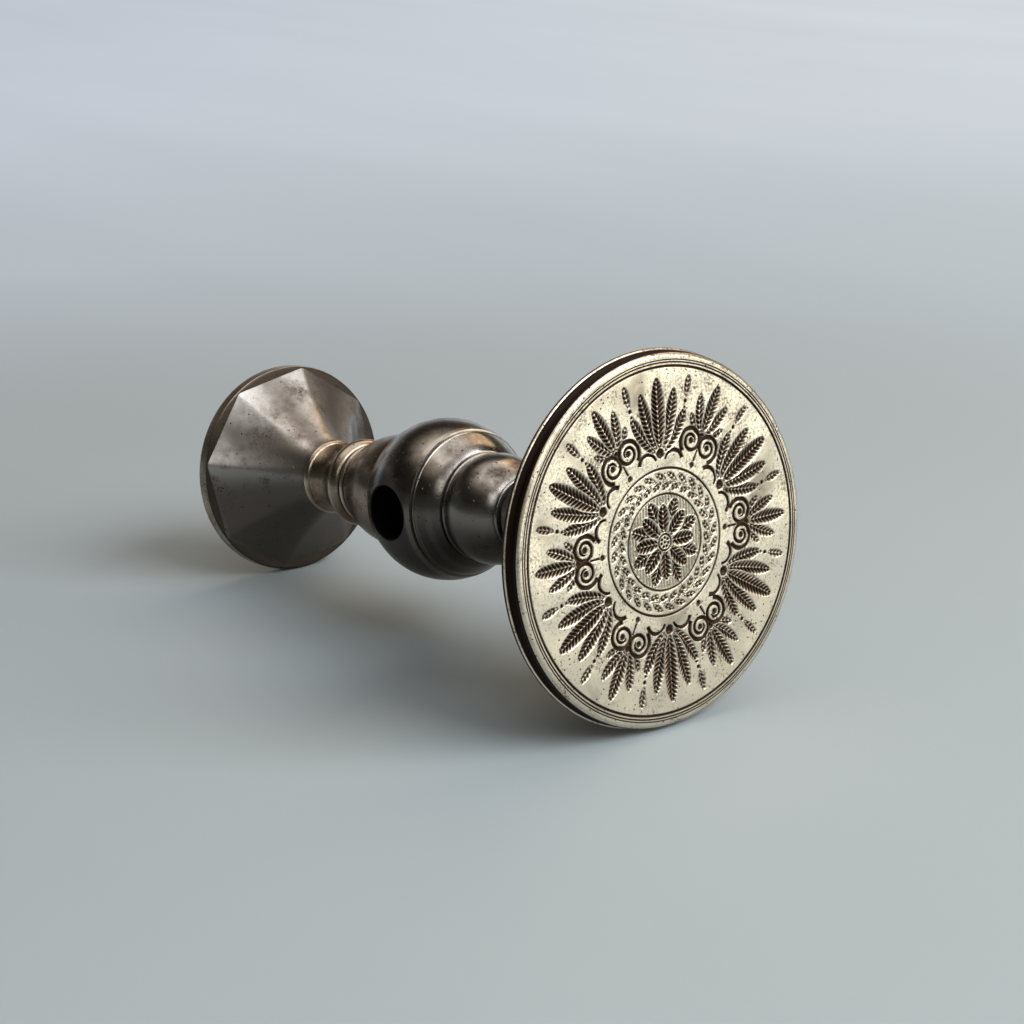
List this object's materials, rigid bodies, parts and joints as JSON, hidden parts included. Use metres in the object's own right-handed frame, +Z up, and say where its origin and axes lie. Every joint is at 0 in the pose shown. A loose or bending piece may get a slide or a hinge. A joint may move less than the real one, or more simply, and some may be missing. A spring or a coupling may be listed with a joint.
{
  "type": "desk seal",
  "caption": "Turned steel desk seal lying on its rims: a large and a small round matrix screwed to a ringed handle with a pierced ball knop and eight-sided flared bosses.",
  "frame": {"origin": "on the surface that the seal lies on, below the middle of its box", "axes": "+Z up from that surface, +X along the seal towards the large disc, +Y along the bore through the ball"},
  "size_m": [0.074, 0.04, 0.0398],
  "materials": {
    "engraved_steel": "polished steel gone pale and warm, with fine pits and dark patina in the engraving",
    "dark_steel": "turned and burnished steel with a dark grey-brown patina",
    "browned_steel": "filed and burnished steel with a brown patina",
    "small_face_steel": "polished steel with brown patina in the engraving",
    "screw_steel": "cut thread, dark with old oil"
  },
  "bodies": {
    "handle": {"knop": "dark_steel", "stem": "browned_steel", "bell_collar": "dark_steel", "neck_ring": "dark_steel"},
    "main_screw": {"main_stud": "screw_steel"},
    "main_head": {"main_boss": "browned_steel", "main_matrix": "engraved_steel"},
    "small_screw": {"small_stud": "screw_steel"},
    "small_head": {"small_boss": "browned_steel", "small_matrix": "small_face_steel"}
  },
  "joints": [
    {"name": "main_screw_out", "type": "slide", "parent": "handle", "child": "main_screw", "axis": [0.9947, 0, 0.1027], "range_m": [0, 0.006]},
    {"name": "main_head_turn", "type": "hinge", "parent": "main_screw", "child": "main_head", "pos_m": [0.01296, 0, 0.01783], "axis": [0.9947, 0, 0.1027], "range_deg": [0, 2160]},
    {"name": "small_screw_out", "type": "slide", "parent": "handle", "child": "small_screw", "axis": [-0.9947, 0, -0.1027], "range_m": [0, 0.006]},
    {"name": "small_head_turn", "type": "hinge", "parent": "small_screw", "child": "small_head", "pos_m": [-0.02568, 0, 0.01384], "axis": [-0.9947, 0, -0.1027], "range_deg": [0, 2160]}
  ],
  "couplings": [
    {"joint": "main_screw_out", "follows": "main_head_turn", "m_per_rad": 0.00015915},
    {"joint": "small_screw_out", "follows": "small_head_turn", "m_per_rad": 0.00015915}
  ]
}
